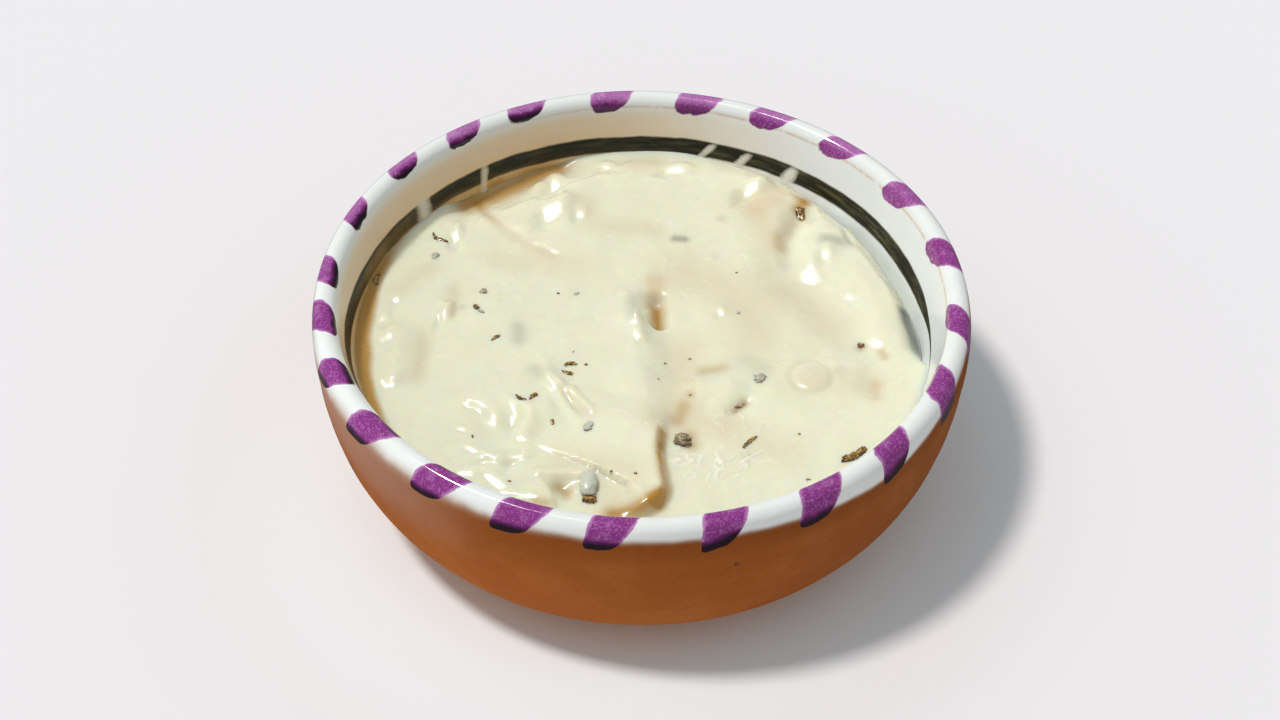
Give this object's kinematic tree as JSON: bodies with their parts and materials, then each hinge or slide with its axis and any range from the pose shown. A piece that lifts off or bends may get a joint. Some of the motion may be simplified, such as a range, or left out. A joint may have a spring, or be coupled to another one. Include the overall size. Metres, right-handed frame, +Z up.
{
  "type": "bowl of garlic herb sauce",
  "caption": "Shallow round earthenware bowl, glazed white inside with painted dabs over its rim, filled with a thick cream-coloured garlic and herb sauce.",
  "frame": {"origin": "middle of the bowl's flat base, on the surface it stands on", "axes": "+Z up along the bowl's own axis of turning, -Y towards the picture's viewer"},
  "size_m": [0.131, 0.131, 0.045],
  "materials": {
    "earthenware": "matte",
    "white_glaze": "gloss",
    "sauce": "gloss",
    "herb": "gloss"
  },
  "bodies": {
    "root": {"bowl": "earthenware", "sauce": "sauce"}
  },
  "joints": []
}
